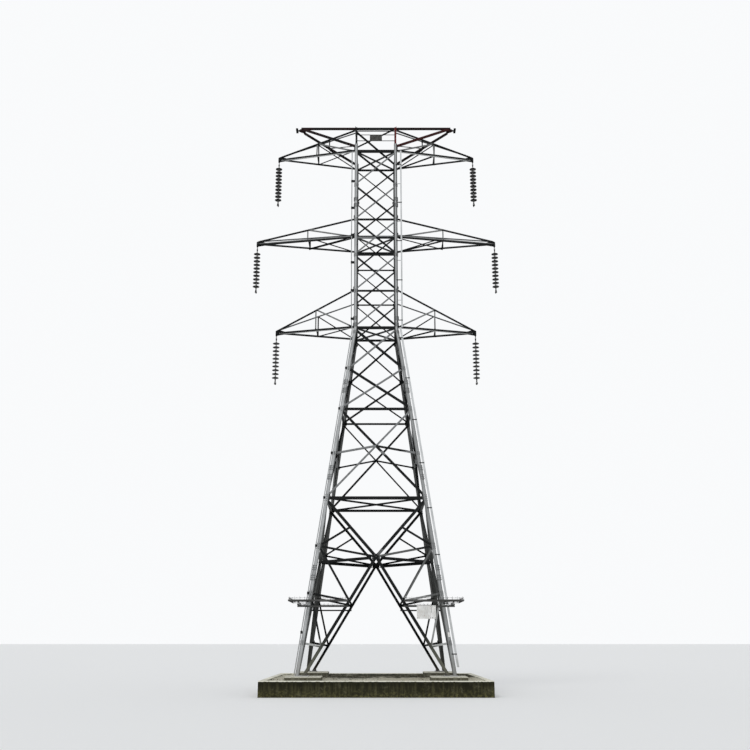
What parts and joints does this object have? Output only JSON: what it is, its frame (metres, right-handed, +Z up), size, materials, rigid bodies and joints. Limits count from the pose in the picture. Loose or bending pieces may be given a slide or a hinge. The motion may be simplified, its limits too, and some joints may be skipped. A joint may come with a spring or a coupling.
{
  "type": "lattice transmission pylon",
  "caption": "Double-circuit steel lattice pylon with crossarms, hanging insulator strings and an earth-wire peak, standing on a square concrete plinth.",
  "frame": {"origin": "middle of the plinth's underside, on the ground", "axes": "+Z up, X along the crossarms, the side with the sign plates faces -Y"},
  "size_m": [9.264, 7.1, 21.08],
  "materials": {
    "leg_zinc": "weathered hot-dip zinc, pale grey",
    "brace_zinc": "weathered hot-dip zinc, darker grey",
    "porcelain": "dark brown glaze",
    "concrete": "weathered cast concrete with dark stains",
    "fill": "loose soil and gravel",
    "white_enamel": "weathered white enamel",
    "dark_enamel": "faded dark enamel"
  },
  "bodies": {
    "tower": {"body_bracing_front": "brace_zinc", "body_bracing_left": "brace_zinc", "body_bracing_rear": "brace_zinc", "body_bracing_right": "brace_zinc", "bottom_crossarm_left": "brace_zinc", "bottom_crossarm_right": "brace_zinc", "climbing_guards": "brace_zinc", "climbing_rail": "leg_zinc", "earth_wire_arm_left": "brace_zinc", "earth_wire_arm_right": "brace_zinc", "earth_wire_clamps": "brace_zinc", "foot_plates": "brace_zinc", "footing_pads": "concrete", "lower_bracing_front": "brace_zinc", "lower_bracing_left": "brace_zinc", "lower_bracing_rear": "brace_zinc", "lower_bracing_right": "brace_zinc", "lower_leg_front_left": "leg_zinc", "lower_leg_front_right": "leg_zinc", "lower_leg_rear_left": "leg_zinc", "lower_leg_rear_right": "leg_zinc", "middle_bracing_front": "brace_zinc", "middle_bracing_left": "brace_zinc", "middle_bracing_rear": "brace_zinc", "middle_bracing_right": "brace_zinc", "middle_crossarm_left": "brace_zinc", "middle_crossarm_right": "brace_zinc", "number_plate": "dark_enamel", "peak_frame": "brace_zinc", "plan_bracing_arms": "brace_zinc", "plan_bracing_beam": "brace_zinc", "plan_bracing_diamond": "brace_zinc", "plinth_curb": "concrete", "plinth_fill": "fill", "top_crossarm_left": "brace_zinc", "top_crossarm_right": "brace_zinc", "upper_leg_front_left": "leg_zinc", "upper_leg_front_right": "leg_zinc", "upper_leg_rear_left": "leg_zinc", "upper_leg_rear_right": "leg_zinc", "warning_plates": "white_enamel"},
    "string_top_right": {"insulator_string_top_right": "porcelain"},
    "string_top_left": {"insulator_string_top_left": "porcelain"},
    "string_middle_right": {"insulator_string_middle_right": "porcelain"},
    "string_middle_left": {"insulator_string_middle_left": "porcelain"},
    "string_bottom_right": {"insulator_string_bottom_right": "porcelain"},
    "string_bottom_left": {"insulator_string_bottom_left": "porcelain"}
  },
  "joints": [
    {"name": "swing_top_right", "type": "hinge", "parent": "tower", "child": "string_top_right", "pos_m": [3.773, 0, 19.635], "axis": [0, 1, 0], "range_deg": [-40, 40]},
    {"name": "swing_top_left", "type": "hinge", "parent": "tower", "child": "string_top_left", "pos_m": [-3.773, 0, 19.635], "axis": [0, 1, 0], "range_deg": [-40, 40]},
    {"name": "swing_middle_right", "type": "hinge", "parent": "tower", "child": "string_middle_right", "pos_m": [4.505, 0, 16.0775], "axis": [0, 1, 0], "range_deg": [-40, 40]},
    {"name": "swing_middle_left", "type": "hinge", "parent": "tower", "child": "string_middle_left", "pos_m": [-4.505, 0, 16.0775], "axis": [0, 1, 0], "range_deg": [-40, 40]},
    {"name": "swing_bottom_right", "type": "hinge", "parent": "tower", "child": "string_bottom_right", "pos_m": [3.683, 0, 12.52], "axis": [0, 1, 0], "range_deg": [-40, 40]},
    {"name": "swing_bottom_left", "type": "hinge", "parent": "tower", "child": "string_bottom_left", "pos_m": [-3.683, 0, 12.52], "axis": [0, 1, 0], "range_deg": [-40, 40]}
  ]
}
